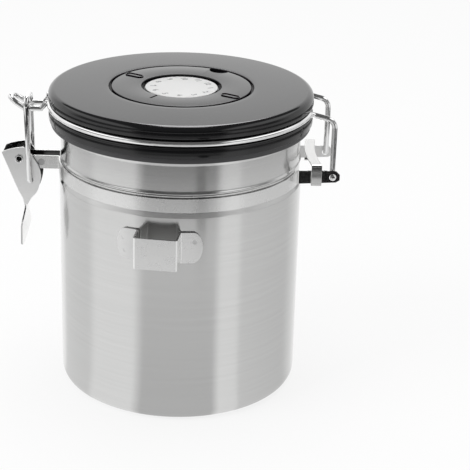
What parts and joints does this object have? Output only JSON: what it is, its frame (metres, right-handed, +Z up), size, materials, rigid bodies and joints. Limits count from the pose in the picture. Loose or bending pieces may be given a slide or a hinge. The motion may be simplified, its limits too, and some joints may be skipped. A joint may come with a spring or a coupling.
{
  "type": "coffee canister",
  "caption": "Round steel coffee canister with a wire bail closure, an over-centre latch, a black lid with a turning date ring and a one-way valve, and a front scoop bracket.",
  "frame": {"origin": "centre of the flat underside of the can", "axes": "+Z up along the can's axis; the front with the scoop bracket faces -Y; the latch is at -X and the hinge 2.9 degrees off +X"},
  "size_m": [0.1735, 0.1425, 0.1595],
  "materials": {
    "brushed_steel": "fine brushed lines round the can",
    "bright_steel": "bright rolled sheet",
    "chromed_wire": "polished",
    "gloss_black": "gloss moulded",
    "black_silicone": "satin moulded",
    "dial_white": "satin with printed numbers",
    "screw_steel": "plain",
    "valve_silicone": "translucent silicone",
    "filter_paper": "pressed fibre"
  },
  "bodies": {
    "root": {"canister_body": "brushed_steel", "front_band": "bright_steel", "rear_band": "bright_steel", "hinge_clip": "bright_steel", "latch_rivet": "chromed_wire", "scoop_holder": "brushed_steel"},
    "lid": {"lid_wire": "chromed_wire", "lid_shell": "gloss_black", "lid_base": "gloss_black", "lid_gasket": "black_silicone", "month_dial": "dial_white", "dial_hub": "gloss_black", "hub_screw": "screw_steel", "lid_screw_1": "screw_steel", "lid_screw_2": "screw_steel", "lid_screw_3": "screw_steel", "lid_screw_4": "screw_steel", "valve_seat": "gloss_black", "valve_filter": "filter_paper", "valve_cover": "gloss_black"},
    "ring": {"date_ring": "gloss_black"},
    "valve": {"valve_disc": "valve_silicone"},
    "lever": {"latch_lever": "bright_steel"},
    "link": {"draw_link": "chromed_wire"}
  },
  "joints": [
    {"name": "lid_hinge", "type": "hinge", "parent": "root", "child": "lid", "pos_m": [0.0771, 0.00391, 0.1174], "axis": [-0.0506, 0.9987, 0], "range_deg": [0, 200]},
    {"name": "lever_swing", "type": "hinge", "parent": "root", "child": "lever", "pos_m": [-0.0829, 0, 0.1192], "axis": [0, 1, 0], "range_deg": [0, 110]},
    {"name": "link_swing", "type": "hinge", "parent": "lever", "child": "link", "pos_m": [-0.0775, 0, 0.1077], "axis": [0, 1, 0], "range_deg": [-80, 0]},
    {"name": "date_ring_turn", "type": "hinge", "parent": "lid", "child": "ring", "pos_m": [0, 0, 0.159], "axis": [0, 0, 1], "continuous": true},
    {"name": "valve_lift", "type": "slide", "parent": "lid", "child": "valve", "axis": [0, 0, 1], "range_m": [0, 0.001], "stiffness_N_per_m": 40}
  ],
  "couplings": [
    {"joint": "link_swing", "follows": "lever_swing", "ratio": -0.72}
  ]
}
